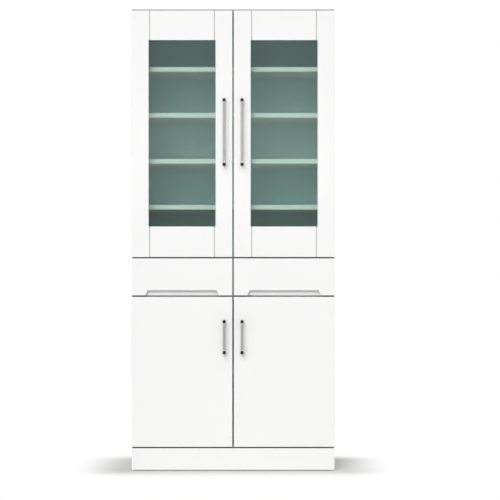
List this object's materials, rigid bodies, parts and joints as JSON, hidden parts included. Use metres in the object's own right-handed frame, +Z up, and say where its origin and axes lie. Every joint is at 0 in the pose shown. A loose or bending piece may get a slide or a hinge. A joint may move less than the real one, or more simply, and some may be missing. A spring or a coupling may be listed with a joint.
{
  "type": "kitchen cupboard",
  "caption": "Tall white two-stage kitchen cupboard: framed misted-glass doors above, drawers with finger notches, plain doors below, bar handles and a plinth.",
  "frame": {"origin": "middle of the bottom of the bounding box, on the floor", "axes": "+X to the right seen from the front, +Y to the back, +Z up; the doors face -Y"},
  "size_m": [0.79, 0.45, 1.8],
  "materials": {
    "white_front": "smooth white lacquered board",
    "white_board": "satin white foil on particle board",
    "back_board": "thin plywood, printed pale grey inside",
    "tinted_back_board": "thin plywood, printed pale sea-green inside",
    "drawer_board": "clear sealed pale wood",
    "drawer_bottom": "thin plywood",
    "dowel_beech": "plain beech",
    "misted_glass": "green tinted glass, misted",
    "bead_plastic": "moulded white strip",
    "handle_metal": "satin bar on dark posts",
    "hinge_steel": "nickel plated steel",
    "pin_steel": "nickel plated steel",
    "screw_steel": "zinc plated steel",
    "plate_steel": "zinc plated steel",
    "glide_plastic": "moulded plastic",
    "bumper_rubber": "soft clear pad",
    "runner_plastic": "moulded slide strip"
  },
  "bodies": {
    "cabinet": {"carcass_screws": "screw_steel", "door_bumpers": "bumper_rubber", "dowels": "dowel_beech", "drawer_deck": "white_board", "drawer_divider": "white_board", "drawer_runners": "runner_plastic", "floor_glides": "glide_plastic", "hinge_arms": "hinge_steel", "hinge_plates": "hinge_steel", "joining_plates": "plate_steel", "lower_back_panel": "back_board", "lower_floor_panel": "white_board", "lower_left_side": "white_board", "lower_right_side": "white_board", "lower_shelf": "white_board", "lower_top_panel": "white_board", "plinth_back_rail": "white_board", "plinth_front": "white_front", "shelf_pins": "pin_steel", "upper_back_panel": "tinted_back_board", "upper_floor_panel": "white_board", "upper_left_side": "white_board", "upper_right_side": "white_board", "upper_shelf_1": "white_board", "upper_shelf_2": "white_board", "upper_shelf_3": "white_board", "upper_shelf_4": "white_board", "upper_top_panel": "white_board"},
    "upper_left_door": {"upper_left_door_bottom_rail": "white_front", "upper_left_door_glass": "misted_glass", "upper_left_door_glass_beads": "bead_plastic", "upper_left_door_handle": "handle_metal", "upper_left_door_handle_stile": "white_front", "upper_left_door_hinge_cups": "hinge_steel", "upper_left_door_hinge_stile": "white_front", "upper_left_door_top_rail": "white_front"},
    "upper_right_door": {"upper_right_door_bottom_rail": "white_front", "upper_right_door_glass": "misted_glass", "upper_right_door_glass_beads": "bead_plastic", "upper_right_door_handle": "handle_metal", "upper_right_door_handle_stile": "white_front", "upper_right_door_hinge_cups": "hinge_steel", "upper_right_door_hinge_stile": "white_front", "upper_right_door_top_rail": "white_front"},
    "lower_left_door": {"lower_left_door_handle": "handle_metal", "lower_left_door_hinge_cups": "hinge_steel", "lower_left_door_panel": "white_front"},
    "lower_right_door": {"lower_right_door_handle": "handle_metal", "lower_right_door_hinge_cups": "hinge_steel", "lower_right_door_panel": "white_front"},
    "left_drawer": {"left_drawer_box_back": "drawer_board", "left_drawer_box_bottom": "drawer_bottom", "left_drawer_box_front": "drawer_board", "left_drawer_box_sides": "drawer_board", "left_drawer_front": "white_front"},
    "right_drawer": {"right_drawer_box_back": "drawer_board", "right_drawer_box_bottom": "drawer_bottom", "right_drawer_box_front": "drawer_board", "right_drawer_box_sides": "drawer_board", "right_drawer_front": "white_front"}
  },
  "joints": [
    {"name": "upper_left_door_hinge", "type": "hinge", "parent": "cabinet", "child": "upper_left_door", "pos_m": [-0.3885, -0.184, 1.316], "axis": [0, 0, -1], "range_deg": [0, 95]},
    {"name": "upper_right_door_hinge", "type": "hinge", "parent": "cabinet", "child": "upper_right_door", "pos_m": [0.3885, -0.184, 1.316], "axis": [0, 0, 1], "range_deg": [0, 95]},
    {"name": "lower_left_door_hinge", "type": "hinge", "parent": "cabinet", "child": "lower_left_door", "pos_m": [-0.3885, -0.184, 0.385], "axis": [0, 0, -1], "range_deg": [0, 95]},
    {"name": "lower_right_door_hinge", "type": "hinge", "parent": "cabinet", "child": "lower_right_door", "pos_m": [0.3885, -0.184, 0.385], "axis": [0, 0, 1], "range_deg": [0, 95]},
    {"name": "left_drawer_slide", "type": "slide", "parent": "cabinet", "child": "left_drawer", "axis": [0, -1, 0], "range_m": [0, 0.25]},
    {"name": "right_drawer_slide", "type": "slide", "parent": "cabinet", "child": "right_drawer", "axis": [0, -1, 0], "range_m": [0, 0.25]}
  ]
}
